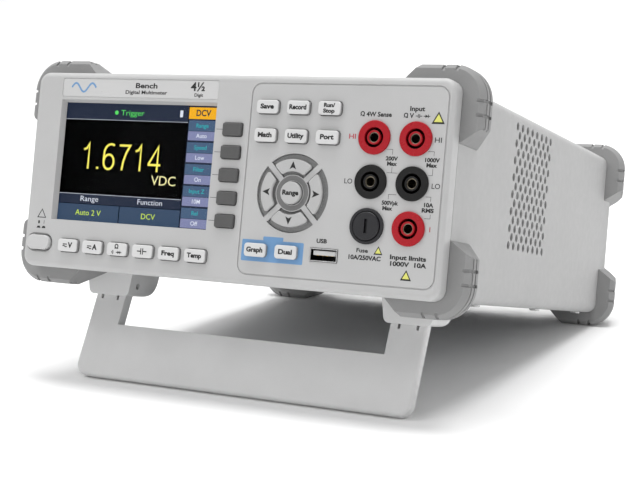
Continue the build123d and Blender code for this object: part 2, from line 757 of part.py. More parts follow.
def make_handle():
    half_t = handle_t / 2
    inner = handle_w / 2 - handle_arm
    bar_top = handle_reach - handle_bar
    outline = Pos(0, -handle_reach / 2) * Rectangle(handle_w, handle_reach)
    outline = fillet(outline.vertices().group_by(Axis.Y)[0], handle_corner_r)
    outline -= Pos(0, (1 - bar_top) / 2) * Rectangle(2 * inner, bar_top + 1)
    plate = slab(outline, -half_t, half_t)
    foot = plate.edges().filter_by(GeomType.LINE).filter_by(Axis.X).group_by(Axis.Z)[0]
    plate = fillet(foot, handle_edge_r)
    for side in (-1, 1):
        plate += cross_rod(side * barrel_x - handle_arm / 2, side * barrel_x + handle_arm / 2, 0, 0, barrel_r)
    cuts = [cross_rod(-handle_w, handle_w, 0, 0, pin_r + pin_gap)]
    for side in (-1, 1):
        for step in (-0.5, 0.5):
            x = side * barrel_x + step * handle_slot_pitch
            cuts.append(box(x - handle_slot_w / 2, x + handle_slot_w / 2, -handle_t, handle_t,
                            -handle_slot_end, -handle_slot_top))
    return handle_frame() * (plate - cuts)


def make_hinge_block():
    """Right-hand block: two cheeks that hold the pin, and a front wall that stops the arm."""
    x0 = barrel_x - handle_arm / 2 - block_side_gap - block_cheek
    x1 = barrel_x + handle_arm / 2 + block_side_gap + block_cheek
    front_view = Polygon((x0, block_foot), (x1, block_foot), (x1 + block_draft, bottom),
                         (x0 - block_draft, bottom), align=None)
    front_view = fillet(front_view.vertices().group_by(Axis.Y)[0], block_foot_r)
    block = slab(front_view, block_front, block_back)
    rear_foot = box(x0 - 5, x1 + 5, block_front, block_back, block_foot, bottom + 5)
    rear_foot = fillet(rear_foot.edges().filter_by(Axis.X).group_by(Axis.Z)[0].sort_by(Axis.Y)[-1], block_back_r)
    block &= rear_foot
    lean = radians(handle_lean)
    along = (pivot_z + handle_t / 2 * sin(lean) - block_foot) / cos(lean)
    stop_y = pivot_y - handle_t / 2 * cos(lean) - along * sin(lean) - stop_gap
    block -= box(x0 + block_cheek, x1 - block_cheek, stop_y, block_back + 1, block_foot - 1, bottom - block_web)
    return block - cross_rod(x0 - 5, x1 + 5, pivot_y, pivot_z, pin_r)


def make_hinge_pin():
    reach = handle_arm / 2 + block_side_gap + block_cheek - 0.3
    return cross_rod(barrel_x - reach, barrel_x + reach, pivot_y, pivot_z, pin_r)


# ---- inside and rear ---------------------------------------------------------------------------------------------------
def make_main_board():
    z = bottom + base_t + board_h
    x0 = board_x - board_w / 2
    board = box(x0, x0 + board_w, board_front, board_front + board_l, z, z + board_t)
    board -= [upright(x, y, screw_r + 0.1, z - 1, z + 5) for x, y in standoff_places()]
    screen_can = box(x0 + board_w - 70, x0 + board_w - 12, board_front + 8, board_front + 60, z, z + 18)
    relays = [box(x0 + 20 + i * 16, x0 + 31 + i * 16, board_front + 12, board_front + 30, z, z + 14) for i in range(3)]
    chips = [box(x0 + 30 + i * 34, x0 + 48 + i * 34, board_front + 90, board_front + 108, z, z + 4) for i in range(3)]
    return board + screen_can + relays + chips


def make_transformer():
    """Mains transformer: iron core round a winding, with two fixing feet on the base."""
    z = bottom + base_t
    x0 = transformer_x - transformer_w / 2
    y0 = transformer_y - transformer_l / 2
    core = box(x0, x0 + transformer_w, y0 + 10, y0 + transformer_l - 10, z, z + transformer_h)
    core = fillet(core.edges().filter_by(Axis.Y), 1.0)
    winding = box(x0 + 8, x0 + transformer_w - 8, y0, y0 + transformer_l, z + 8, z + transformer_h - 8)
    winding = fillet(winding.edges().filter_by(Axis.Z), 5.0)
    return core + winding


def make_power_switch():
    y0 = power_switch_y
    switch = box(power_x - 5, power_x + 5, y0, y0 + power_switch_l, power_z - 5, power_z + 5)
    return switch - rod(power_x, power_z, mat_hole_r, y0 - 1, power_plunger_end + power_travel + 0.5)


def make_mains_inlet():
    """Standard appliance inlet: flange, shrouded cavity and three blade pins."""
    half_w = inlet_cavity_w / 2
    half_h = inlet_cavity_h / 2
    y1 = rear_face + inlet_flange_t
    y0 = y1 - inlet_d
    cavity = Pos(inlet_x, inlet_z) * Polygon(
        (-half_w, -half_h), (half_w, -half_h), (half_w, half_h - 4), (half_w - 4, half_h),
        (4 - half_w, half_h), (-half_w, half_h - 4), align=None)
    body = slab(Pos(inlet_x, inlet_z) * RectangleRounded(inlet_flange, inlet_h + 4, 3), rear_face, y1)
    body += slab(Pos(inlet_x, inlet_z) * Rectangle(inlet_w - 2 * hole_gap, inlet_h - 2 * hole_gap), y0, y1)
    body -= slab(cavity, y0 + inlet_floor, y1 + 1)
    for dx, dz in ((-7, -2), (7, -2), (0, 2)):
        pin = Pos(inlet_x + dx, inlet_z + dz) * Rectangle(2, 4)
        body += slab(pin, y0 + inlet_floor - 1, y1 - 3)
    return body - [rod(inlet_x + s * inlet_screw_pitch / 2, inlet_z, screw_r + 0.1, y0, y1 + 1) for s in (-1, 1)]


def make_usb_device_port():
    place = Pos(usb_b_x, rear_port_z)
    y1 = rear_face + 0.5
    shell = slab(place * Rectangle(usb_b_w, usb_b_h), y1 - 16, y1)
    hollow = Polygon((-4.2, -3.9), (4.2, -3.9), (4.2, 2.4), (2.6, 3.9), (-2.6, 3.9), (-4.2, 2.4), align=None)
    shell -= slab(place * hollow, y1 - 12, y1 + 1)
    return shell + slab(place * Rectangle(5.6, 3.2), y1 - 13, y1 - 1)


def make_trigger_socket(x):
    """Coaxial socket: threaded barrel, two bayonet lugs and a centre contact."""
    y1 = rear_face + 12.0
    flange = rod(x, rear_port_z, trigger_r + 2.5, rear_face, rear_face + 2)
    barrel = tube(x, rear_port_z, trigger_r, trigger_r - 0.7, rear_face - 8, y1)
    lugs = box(x - trigger_r - 0.9, x + trigger_r + 0.9, y1 - 5, y1 - 3.2, rear_port_z - 0.9, rear_port_z + 0.9)
    socket = flange + barrel + lugs - rod(x, rear_port_z, trigger_r - 0.7, rear_face - 6, y1 + 1)
    socket += rod(x, rear_port_z, trigger_r, rear_face - 8, rear_face - 6)
    return socket + rod(x, rear_port_z, trigger_pin_r + 1.0, rear_face - 12, y1 - 3)


def screw(place, length):
    """A cross-head screw, head up, its seat at the origin."""
    body = Pos(0, 0, screw_head_t / 2) * Cylinder(screw_head_r, screw_head_t)
    body = fillet(body.faces().sort_by(Axis.Z)[-1].edges(), 0.6)
    body += Pos(0, 0, -length / 2) * Cylinder(screw_r - 0.05, length)
    for turn in (0, 90):
        body -= Pos(0, 0, screw_head_t) * Rot(0, 0, turn) * Box(3.0, 0.7, 1.2)
    return place * body


def make_screws():
    screws = [screw(Pos(x, y, bottom) * Rot(180, 0, 0), 4.0) for x, y in screw_places()]
    board_top = bottom + base_t + board_h + board_t
    screws += [screw(Pos(x, y, board_top), 8.0) for x, y in standoff_places()]
    board_back = key_board_y + board_t
    screws += [screw(Pos(x, board_back, z) * Rot(-90, 0, 0), 4.5) for x, z in post_places()]
    inlet_back = rear_face + inlet_flange_t
    screws += [screw(Pos(inlet_x + s * inlet_screw_pitch / 2, inlet_back, inlet_z) * Rot(-90, 0, 0), 6.0)
               for s in (-1, 1)]
    return screws


# ---- standing pose ---------------------------------------------------------------------------------------------------------
def tilt_angle():
    """Lean of the case when it stands on the handle's foot and on the rear lower bumpers."""
    lean = radians(handle_lean)
    reach = handle_reach - handle_edge_r
    half = handle_t / 2 - handle_edge_r
    foot_y = pivot_y - reach * sin(lean) + half * cos(lean)
    foot_z = pivot_z - reach * cos(lean) - half * sin(lean)
    heel_y = rear_bumper_y[2]
    heel_z = bottom - bumper_top
    run = heel_y - foot_y
    rise = heel_z - foot_z
    return degrees(atan2(rise, run) + asin(handle_edge_r / hypot(run, rise)))


def build():
    """Every node in the case's own frame: a name and its list of solids."""
    window, module = make_display()
    holder, fuse_cap, fuse = make_fuse_parts()
    front = make_front_bumper()
    rear = make_rear_bumper()
    block = make_hinge_block()
    pin = make_hinge_pin()
    places = jack_places()
    red = [places[0], places[1], places[4]]
    nodes = {
        "front_panel": [make_front_panel()],
        "name_plate": [slab(name_plate_outline(0), sheet_gap, plate_t)],
        "display_window": [window],
        "lcd_module": [module],
        "keypad_mat": [make_keypad_mat()],
        "key_board": [make_key_board()],
        "case_cover": [make_case_cover()],
        "base_plate": [make_base_plate()],
        "rear_panel": [make_rear_panel()],
        "hinge_blocks": [block, mirrored(block, True, False)],
        "hinge_pins": [pin, mirrored(pin, True, False)],
        "handle": [make_handle()],
        "jack_bodies_red": [jack_body(x, z) for x, z in red],
        "jack_bodies_black": [jack_body(x, z) for x, z in places if (x, z) not in red],
        "jack_contacts": [jack_contact(x, z) for x, z in places],
        "jack_nuts": [jack_nut(x, z, nut_r) for x, z in places],
        "fuse_holder": [holder],
        "fuse_cap": [fuse_cap],
        "fuse": [fuse],
        "usb_host_port": [make_usb_host_port()],
        "main_board": [make_main_board()],
        "transformer": [make_transformer()],
        "power_switch": [make_power_switch()],
        "mains_inlet": [make_mains_inlet()],
        "usb_device_port": [make_usb_device_port()],
        "trigger_sockets": [make_trigger_socket(trigger_x), make_trigger_socket(trigger_x + trigger_pitch)],
        "screws": make_screws(),
    }
    for lower in (False, True):
        for on_left in (False, True):
            corner = ("bottom" if lower else "top") + ("_left" if on_left else "_right")
            nodes["front_bumper_" + corner] = [mirrored(front, on_left, lower)]
            nodes["rear_bumper_" + corner] = [mirrored(rear, on_left, lower)]
    for name, solid in make_keys().items():
        nodes[name] = [solid]
    return nodes


def standing_place(nodes):
    """The move that stands the instrument on the ground with the origin at its bottom centre."""
    turn = Rot(-tilt_angle(), 0, 0)
    whole = Compound(children=[turn * solid for solids in nodes.values() for solid in solids])
    bounds = whole.bounding_box()
    shift = Pos(-bounds.center().X, -bounds.center().Y, -bounds.min.Z)
    return shift * turn


def write_parts():
    nodes = build()
    place = standing_place(nodes)
    os.makedirs("parts", exist_ok=True)
    for name, solids in nodes.items():
        placed = [place * solid for solid in solids]
        shape = placed[0] if len(placed) == 1 else Compound(children=placed)
        export_step(shape, f"parts/{name}.step")
    print("nodes", len(nodes), "tilt", round(tilt_angle(), 3), "place", place)


if __name__ == "__main__":
    write_parts()
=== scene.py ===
import json
from math import cos, pi, radians, sin

import bmesh
import bpy
from mathutils import Matrix, Vector


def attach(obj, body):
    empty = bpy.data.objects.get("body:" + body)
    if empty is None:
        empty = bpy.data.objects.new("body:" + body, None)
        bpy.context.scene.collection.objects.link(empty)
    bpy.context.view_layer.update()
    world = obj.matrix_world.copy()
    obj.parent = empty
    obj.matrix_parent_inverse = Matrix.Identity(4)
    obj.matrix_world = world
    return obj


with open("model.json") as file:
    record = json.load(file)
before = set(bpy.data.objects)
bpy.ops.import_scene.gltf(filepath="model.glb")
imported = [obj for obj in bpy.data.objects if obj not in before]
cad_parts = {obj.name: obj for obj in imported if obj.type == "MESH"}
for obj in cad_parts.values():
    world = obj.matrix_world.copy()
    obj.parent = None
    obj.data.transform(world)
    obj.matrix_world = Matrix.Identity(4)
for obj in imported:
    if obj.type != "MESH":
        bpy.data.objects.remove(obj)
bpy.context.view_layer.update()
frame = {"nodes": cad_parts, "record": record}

MM = 0.001

# ---- the front panel's own frame: X to the right, Y into the case, Z up, origin at its centre ----
SOCKET_AT = Vector((91.75, 0.5, 20.7)) * MM       # the upper right socket's mount, in that frame
mounts = {mount["name"]: mount for mount in frame["record"]["mounts"]}
socket = mounts["input_hi_socket"]
across = Vector((1, 0, 0))
into = -Vector(socket["axis"]).normalized()
upward = across.cross(into)
turn = Matrix((across, into, upward)).transposed()
panel = Matrix.Translation(Vector(socket["pos_m"]) - turn @ SOCKET_AT) @ turn.to_4x4()

# panel layout in millimetres
KEY_X = (20.5, 35.7, 50.9)
KEY_ROWS = (32.6, 19.9, -31.2)
FUNCTION_X = [-80.3 + 14.05 * i for i in range(6)]
FUNCTION_Z = -36.0
SOFT_X = 3.15
SOFT_Z = [22.0 - 10.35 * i for i in range(5)]
PAD = (35.7, -5.1)
SOCKET_X = (72.7, 91.75)
USB = (53.5, -31.2)
POWER = (-98.0, -35.5)
KEY_FACE_Y = -2.0
ARROW_FACE_Y = -1.5
DISPLAY_Y = 4.2
STRIP_Y = 0.1
REAR_Y = 282.0            # outer face of the rear panel
INK = 0.02                # thickness of printing


# ---- materials ------------------------------------------------------------------------------------
def node(tree, kind, **values):
    """Adds a shader node. Values set its properties, or its input sockets where the name is one."""
    made = tree.nodes.new(kind)
    for name, value in values.items():
        if hasattr(made, name):
            setattr(made, name, value)
        else:
            made.inputs[name.replace("_", " ")].default_value = value
    return made


def grey(value, warmth=0.0):
    """A linear colour from a screen grey level of 0 to 255, made warmer or cooler."""
    level = (value / 255) ** 2.2
    return (level * (1 + warmth), level, level * (1 - warmth), 1)


def screen_colour(red, green, blue):
    """A linear colour from screen levels of 0 to 255."""
    return tuple((value / 255) ** 2.2 for value in (red, green, blue)) + (1,)


def noise(tree, coords, size_mm, detail=2.0, stretch=None):
    """Noise whose features are about size_mm across."""
    source = coords
    if stretch:
        mapping = node(tree, "ShaderNodeMapping")
        mapping.inputs["Scale"].default_value = stretch
        tree.links.new(coords, mapping.inputs["Vector"])
        source = mapping.outputs["Vector"]
    made = node(tree, "ShaderNodeTexNoise", Scale=1 / (size_mm * MM), Detail=detail)
    tree.links.new(source, made.inputs["Vector"])
    return made.outputs["Fac"]


def mixed(tree, factor, first, painted_depth_shade):
    """A colour between two colours; each is a constant or another node's output."""
    made = node(tree, "ShaderNodeMix", data_type="RGBA")
    for socket_in, value in ((made.inputs[0], factor), (made.inputs[6], first), (made.inputs[7], painted_depth_shade)):
        if isinstance(value, bpy.types.NodeSocket):
            tree.links.new(value, socket_in)
        else:
            socket_in.default_value = value
    return made.outputs[2]


def scaled(tree, value, low, high, to_low, to_high):
    """A value moved from one range to another."""
    made = node(tree, "ShaderNodeMapRange", From_Min=low, From_Max=high, To_Min=to_low, To_Max=to_high)
    tree.links.new(value, made.inputs["Value"])
    return made.outputs["Result"]


def brighter(colour, amount):
    return tuple(min(channel * amount, 1.0) for channel in colour[:3]) + (1,)


def surface(name, colour, rough, metallic=0.0, tone=0.05, tone_mm=30.0, grain_mm=0.35, grain_depth=0.02,
            rough_spread=0.08, edge_mm=0.3, painted_edge_brightness=1.12, stretch=None, painted_depth_shade=None, **sockets):
    """A shaded surface with slow colour change, fine grain, uneven gloss, softened edges and a painted
    highlight along the edges, which is painted shade where the edge brightness is under 1.
    """
    material = bpy.data.materials.new(name)
    material.use_nodes = True
    tree = material.node_tree
    shader = tree.nodes["Principled BSDF"]
    coords = node(tree, "ShaderNodeTexCoord").outputs["Object"]
    slow = noise(tree, coords, tone_mm, 3.0)
    patches = scaled(tree, slow, 0.3, 0.7, 0.0, 1.0)
    base = mixed(tree, patches, brighter(colour, 1 - tone), brighter(colour, 1 + tone))
    # painted shade: parts lying deep in the panel take a darker colour
    if painted_depth_shade:
        base = mixed(tree, painted_depth_shade(tree, coords), base, painted_depth_shade.colour)
    fine = noise(tree, coords, grain_mm, 3.0, stretch)
    base = mixed(tree, scaled(tree, fine, 0.3, 0.7, 0.0, 0.35), base, brighter(colour, 1 - tone * 1.5))
    bevel = node(tree, "ShaderNodeBevel", samples=4, Radius=edge_mm * MM)
    flat = node(tree, "ShaderNodeNewGeometry").outputs["Normal"]
    facing = node(tree, "ShaderNodeVectorMath", operation="DOT_PRODUCT")
    tree.links.new(bevel.outputs["Normal"], facing.inputs[0])
    tree.links.new(flat, facing.inputs[1])
    # painted highlight along rounded edges, where the bevelled normal turns from the flat one; a
    # brightness under 1 paints shade there instead
    painted_edge_mask = scaled(tree, facing.outputs["Value"], 0.86, 0.99, 0.8, 0.0)
    tree.links.new(mixed(tree, painted_edge_mask, base, brighter(colour, painted_edge_brightness)), shader.inputs["Base Color"])
    cloudy = noise(tree, coords, 4.0, 4.0, stretch)
    gloss = scaled(tree, cloudy, 0.3, 0.7, rough - rough_spread, rough + rough_spread)
    tree.links.new(gloss, shader.inputs["Roughness"])
    bump = node(tree, "ShaderNodeBump", Strength=0.6, Distance=grain_depth * MM)
    tree.links.new(fine, bump.inputs["Height"])
    tree.links.new(bevel.outputs["Normal"], bump.inputs["Normal"])
    tree.links.new(bump.outputs["Normal"], shader.inputs["Normal"])
    shader.inputs["Metallic"].default_value = metallic
    for key, value in sockets.items():
        shader.inputs[key.replace("_", " ")].default_value = value
    return material


class PaintedShadeBelowDepth:
    """Painted shade: where a surface lies deeper in the panel than depth_mm, it takes another, darker
    colour that stands in for the shade in the recess.
    """

    def __init__(self, depth_mm, colour):
        self.depth = into.dot(panel.translation) + depth_mm * MM
        self.colour = colour

    def __call__(self, tree, coords):
        depth = node(tree, "ShaderNodeVectorMath", operation="DOT_PRODUCT")
        depth.inputs[1].default_value = into
        tree.links.new(coords, depth.inputs[0])
        blend = 0.05 * MM
        return scaled(tree, depth.outputs["Value"], self.depth - blend, self.depth + blend, 0.0, 1.0)


def glowing(name, colour, strength=1.0):
    """Lit display colour with a faint grid of picture dots."""
    material = bpy.data.materials.new(name)
    material.use_nodes = True
    tree = material.node_tree
    shader = tree.nodes["Principled BSDF"]
    coords = node(tree, "ShaderNodeTexCoord").outputs["Object"]
    dots = noise(tree, coords, 0.4, 0.0)
    patches = scaled(tree, dots, 0.3, 0.7, 0.0, 1.0)
    shade = mixed(tree, patches, brighter(colour, 0.93), brighter(colour, 1.05))
    tree.links.new(shade, shader.inputs["Emission Color"])
    shader.inputs["Base Color"].default_value = (0.01, 0.01, 0.012, 1)
    shader.inputs["Emission Strength"].default_value = strength
    shader.inputs["Roughness"].default_value = 0.5
    shader.inputs["Specular IOR Level"].default_value = 0.1
    return material


def clear_glass(name, tint, spread, ior):
    """Clear glass with a faint wiped-over haze; a low index stands for an anti-glare coating."""
    material = bpy.data.materials.new(name)
    material.use_nodes = True
    tree = material.node_tree
    shader = tree.nodes["Principled BSDF"]
    coords = node(tree, "ShaderNodeTexCoord").outputs["Object"]
    haze = noise(tree, coords, 12.0, 4.0)
    tree.links.new(scaled(tree, haze, 0.35, 0.75, 0.0, spread), shader.inputs["Roughness"])
    shader.inputs["Base Color"].default_value = tint
    shader.inputs["Transmission Weight"].default_value = 1.0
    shader.inputs["IOR"].default_value = ior
    return material


# an edge brightness over 1 paints a highlight along a surface's edges; under 1 it paints shade there
materials = {
    "panel": surface("panel_plastic", grey(180), 0.52, tone=0.03, grain_depth=0.012),
    "handle": surface("handle_plastic", grey(206), 0.5, grain_depth=0.015),
    "strip": surface("name_strip_film", grey(194), 0.35, tone=0.02, grain_depth=0.003),
    "window": clear_glass("display_glass", (0.93, 0.95, 1.0, 1), 0.03, 1.06),
    "tube_glass": clear_glass("fuse_glass", (0.95, 1.0, 0.98, 1), 0.05, 1.45),
    "display": surface("display_black", screen_colour(2, 2, 6), 0.5, grain_depth=0.001,
                       Specular_IOR_Level=0.02),
    "silicone": surface("silicone_mat", grey(190), 0.6, grain_depth=0.01),
    "board": surface("solder_mask", screen_colour(20, 88, 52), 0.4, tone=0.12, tone_mm=8,
                     grain_depth=0.01),
    "cover": surface("powder_coat", grey(168), 0.6, tone=0.025, grain_mm=0.5, grain_depth=0.03),
    "zinc": surface("zinc_plate", grey(170, -0.02), 0.38, metallic=0.9, tone=0.15, tone_mm=6,
                    stretch=(1, 8, 1), grain_depth=0.01),
    "steel": surface("plated_steel", grey(190), 0.28, metallic=1.0, tone=0.08, grain_depth=0.006,
                     stretch=(1, 10, 1), edge_mm=0.1),
    # painted shade inside the port: the steel shell is near black deeper than 0.4 mm
    "port_steel": surface("port_steel", grey(180), 0.3, metallic=1.0, tone=0.08, grain_depth=0.006,
                          edge_mm=0.1, painted_depth_shade=PaintedShadeBelowDepth(0.4, grey(26))),
    "brass": surface("plated_brass", screen_colour(150, 142, 125), 0.3, metallic=1.0, tone=0.1,
                     grain_depth=0.004, edge_mm=0.1),
    # painted shade: the red is darker inside the socket and along its edges
    "red": surface("red_insulator", screen_colour(160, 18, 32), 0.3, tone=0.03, grain_depth=0.004,
                   edge_mm=0.25, painted_edge_brightness=0.7, Specular_IOR_Level=0.25,
                   painted_depth_shade=PaintedShadeBelowDepth(0.6, screen_colour(70, 8, 14))),
    "black": surface("black_insulator", grey(26), 0.4, tone=0.08, grain_depth=0.006, edge_mm=0.2,
                     painted_edge_brightness=1.8, Specular_IOR_Level=0.25),
    # painted shade: near-black sheet material that stands in for the unlit inside of the case behind the
    # vents
    "vent_shade": surface("vent_shade_sheet", grey(14), 0.8, tone=0.1, grain_depth=0.01, Specular_IOR_Level=0.1),
    "fuse_black": surface("fuse_black", screen_colour(18, 18, 24), 0.4, tone=0.1, grain_depth=0.01,
                          edge_mm=0.2, painted_edge_brightness=1.8),
    "iron": surface("laminations", grey(70, 0.05), 0.5, metallic=0.6, tone=0.2, grain_mm=0.5,
                    stretch=(1, 12, 1), grain_depth=0.05),
    "bumper": surface("bumper_rubber", grey(137), 0.7, tone=0.05, grain_mm=0.45, grain_depth=0.03,
                      edge_mm=0.5, painted_edge_brightness=1.2),
    "soft_key": surface("soft_key_rubber", grey(80), 0.6, grain_depth=0.01, painted_edge_brightness=1.4),
    # painted shade: the sides of the keys, the arrow keys and the range key, below their faces, are darker
    # grey
    "key": surface("key_silicone", grey(204), 0.5, tone=0.02, grain_depth=0.006, painted_edge_brightness=1.08,
                   painted_depth_shade=PaintedShadeBelowDepth(-1.5, grey(122))),
    "power_key": surface("power_key_plastic", grey(188), 0.45, tone=0.02, grain_depth=0.006),
    "arrow": surface("arrow_key_silicone", grey(174), 0.52, tone=0.02, grain_depth=0.006,
                     painted_depth_shade=PaintedShadeBelowDepth(-0.4, grey(112))),
    "range_key": surface("range_key_silicone", grey(176), 0.52, tone=0.02, grain_depth=0.006,
                         painted_depth_shade=PaintedShadeBelowDepth(-0.6, grey(120))),
    "dark_ink": surface("dark_ink", grey(22), 0.5, tone=0.1, grain_depth=0.002, edge_mm=0.02,
                        painted_edge_brightness=1.0),
    "grey_ink": surface("grey_ink", grey(66), 0.5, tone=0.1, grain_depth=0.002, edge_mm=0.02,
                        painted_edge_brightness=1.0),
    "painted_shade": surface("painted_shade", grey(112), 0.6, tone=0.05, grain_depth=0.004, edge_mm=0.02),
    "red_ink": surface("red_ink", screen_colour(170, 60, 70), 0.5, grain_depth=0.002, edge_mm=0.02),
    "yellow_ink": surface("yellow_ink", screen_colour(214, 214, 110), 0.5, grain_depth=0.002,
                          edge_mm=0.02),
    "blue_ink": surface("blue_ink", screen_colour(104, 146, 190), 0.5, tone=0.04, tone_mm=12,
                        grain_depth=0.002, edge_mm=0.02),
    "white_plastic": surface("white_plastic", grey(205), 0.4, grain_depth=0.004, edge_mm=0.1),
    "gold": surface("gold_contact", screen_colour(224, 186, 96), 0.25, metallic=1.0, grain_depth=0.002,
                    edge_mm=0.05),
    "lit_navy": glowing("lit_navy", screen_colour(36, 44, 60)),
    "lit_steel": glowing("lit_steel", screen_colour(58, 76, 98)),
    "lit_slate": glowing("lit_slate", screen_colour(74, 96, 122)),
    "lit_lilac": glowing("lit_lilac", screen_colour(132, 136, 170)),
    "lit_white": glowing("lit_white", screen_colour(226, 230, 236)),
    "lit_cream": glowing("lit_cream", screen_colour(250, 240, 168)),
    "lit_yellow": glowing("lit_yellow", screen_colour(255, 238, 96), 1.1),
    "lit_amber": glowing("lit_amber", screen_colour(250, 178, 28)),
    "lit_lime": glowing("lit_lime", screen_colour(206, 238, 74)),
    "lit_green": glowing("lit_green", screen_colour(90, 222, 96)),
    "lit_teal": glowing("lit_teal", screen_colour(44, 176, 178)),
}

node_materials = {
    "front_panel": "panel", "name_plate": "strip", "display_window": "window", "lcd_module": "display",
    "keypad_mat": "silicone", "key_board": "board", "case_cover": "cover", "base_plate": "zinc",
    "rear_panel": "cover", "hinge_blocks": "handle", "hinge_pins": "steel", "handle": "handle",
    "jack_bodies_red": "red", "jack_bodies_black": "black", "jack_contacts": "brass", "jack_nuts": "black",
    "fuse_holder": "fuse_black", "fuse_cap": "fuse_black", "fuse": "tube_glass",
    "usb_host_port": "port_steel",
    "main_board": "board", "transformer": "iron", "power_switch": "black", "mains_inlet": "black",
    "usb_device_port": "steel", "trigger_sockets": "brass", "screws": "steel", "range_key": "range_key",
    "power_button": "power_key",
}
for name, thing in frame["nodes"].items():
    if "bumper" in name:
        look = "bumper"
    elif name.startswith("soft_key"):
        look = "soft_key"
    elif name in ("up_key", "right_key", "down_key", "left_key"):
        look = "arrow"
    else:
        look = node_materials.get(name, "key")
    thing.data.materials.clear()
    thing.data.materials.append(materials[look])


# ---- printing and display pictures: flat shapes and words on planes of the panel ------------------
CAP_SHARE = 0.72          # height of a capital, as a share of the font's size


def word_mesh(words, cap, weight):
    """Words as a flat mesh, centred at the origin, with capitals cap millimetres high."""
    curve = bpy.data.curves.new("words", "FONT")
    curve.body = words
    curve.size = cap / CAP_SHARE
    curve.align_x = "CENTER"
    curve.align_y = "CENTER"
    curve.offset = weight
    curve.resolution_u = 3
    carrier = bpy.data.objects.new("words", curve)
    bpy.context.scene.collection.objects.link(carrier)
    bpy.context.view_layer.update()
    ready = carrier.evaluated_get(bpy.context.evaluated_depsgraph_get())
    mesh = bpy.data.meshes.new_from_object(ready)
    bpy.data.objects.remove(carrier)
    return mesh


class Print:
    """Flat printing in one colour on one plane of the panel, gathered into one piece."""

    def __init__(self, name, look, y, body="chassis", facing=1):
        self.name = name
        self.look = look
        self.y = y
        self.body = body
        self.facing = facing
        self.mesh = bmesh.new()

    def words(self, text, x, z, cap, width=None, weight=0.0):
        """Words centred at x and z; width squeezes or stretches them to that many millimetres."""
        flat = word_mesh(text, cap, weight)
        squeeze = 1.0
        if width:
            xs = [vertex.co.x for vertex in flat.vertices]
            squeeze = width / (max(xs) - min(xs))
        corners = [self.mesh.verts.new((x + v.co.x * squeeze * self.facing, self.y, z + v.co.y))
                   for v in flat.vertices]
        for face in flat.polygons:
            self.mesh.faces.new([corners[i] for i in face.vertices])
        bpy.data.meshes.remove(flat)

    def shape(self, points):
        self.mesh.faces.new([self.mesh.verts.new((x, self.y, z)) for x, z in points])

    def block(self, x0, x1, z0, z1, r=0.0):
        """A rectangle, with rounded corners where r is given."""
        if r == 0:
            self.shape([(x0, z0), (x1, z0), (x1, z1), (x0, z1)])
            return
        points = []
        centres = ((x1 - r, z0 + r, -90), (x1 - r, z1 - r, 0),
                   (x0 + r, z1 - r, 90), (x0 + r, z0 + r, 180))
        for cx, cz, start in centres:
            for step in range(5):
                angle = radians(start + step * 22.5)
                points.append((cx + r * cos(angle), cz + r * sin(angle)))
        self.shape(points)

    def line(self, points, width):
        """A printed line through points, mitred at its corners; it closes where it ends at its start."""
        spots = [Vector(point) for point in points]
        closed = (spots[0] - spots[-1]).length < 0.001
        runs = [(end - start).normalized() for start, end in zip(spots, spots[1:])]
        left, right = [], []
        for i, spot in enumerate(spots):
            before = runs[i - 1] if i > 0 or closed else runs[0]
            after = runs[i] if i < len(runs) else (runs[0] if closed else runs[-1])
            middle = (before + after).normalized()
            reach = width / 2 / max(middle.dot(after), 0.5)
            side = Vector((-middle.y, middle.x)) * reach
            left.append(self.mesh.verts.new((spot.x + side.x, self.y, spot.y + side.y)))
            right.append(self.mesh.verts.new((spot.x - side.x, self.y, spot.y - side.y)))
        for i in range(len(spots) - 1):
            self.mesh.faces.new([right[i], right[i + 1], left[i + 1], left[i]])

    def disc(self, x, z, r, sides=24):
        angles = [2 * pi * i / sides for i in range(sides)]
        self.shape([(x + r * cos(a), z + r * sin(a)) for a in angles])

    def place(self):
        """Turns the gathered shapes into a thin piece on the panel."""
        bmesh.ops.recalc_face_normals(self.mesh, faces=self.mesh.faces)
        for face in self.mesh.faces:
            if face.normal.y * self.facing > 0:
                face.normal_flip()
        bmesh.ops.transform(self.mesh, matrix=panel @ Matrix.Scale(MM, 4), verts=self.mesh.verts)
        data = bpy.data.meshes.new(self.name)
        self.mesh.to_mesh(data)
        self.mesh.free()
        piece = bpy.data.objects.new(self.name, data)
        bpy.context.scene.collection.objects.link(piece)
        data.materials.append(materials[self.look])
        layer = piece.modifiers.new("ink", "SOLIDIFY")
        layer.thickness = INK * MM
        layer.offset = 1
        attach(piece, self.body)


def arc(x, z, rx, rz, start, end, steps=12):
    """Points round an ellipse from one angle to another, anticlockwise where end is the larger."""
    angles = [radians(start + (end - start) * i / steps) for i in range(steps + 1)]
    return [(x + rx * cos(a), z + rz * sin(a)) for a in angles]


# strokes of the display's thin numerals, in a cell 0.56 wide and 1 high
numerals = {
    "1": ([(0.1, 0.74), (0.24, 0.8), (0.34, 0.98), (0.34, 0.0)],),
    "6": (arc(0.29, 0.3, 0.23, 0.28, 0, 360, 24),
          arc(0.36, 0.62, 0.3, 0.36, 60, 170) + [(0.055, 0.45), (0.06, 0.3)]),
    "7": ([(0.05, 0.95), (0.53, 0.95), (0.38, 0.68), (0.27, 0.35), (0.22, 0.0)],),
    "4": ([(0.42, 0.0), (0.42, 0.96), (0.04, 0.3), (0.04, 0.26), (0.56, 0.26)],),
    ".": ([(0.04, 0.05), (0.14, 0.05)],),
}


def reading(ink, digits, x, z, height, weight):
    """Thin numerals from their lower left corner on."""
    for digit in digits:
        for stroke in numerals[digit]:
            ink.line([(x + px * height, z + pz * height) for px, pz in stroke], weight)
        x += height * (0.3 if digit == "." else 0.69)


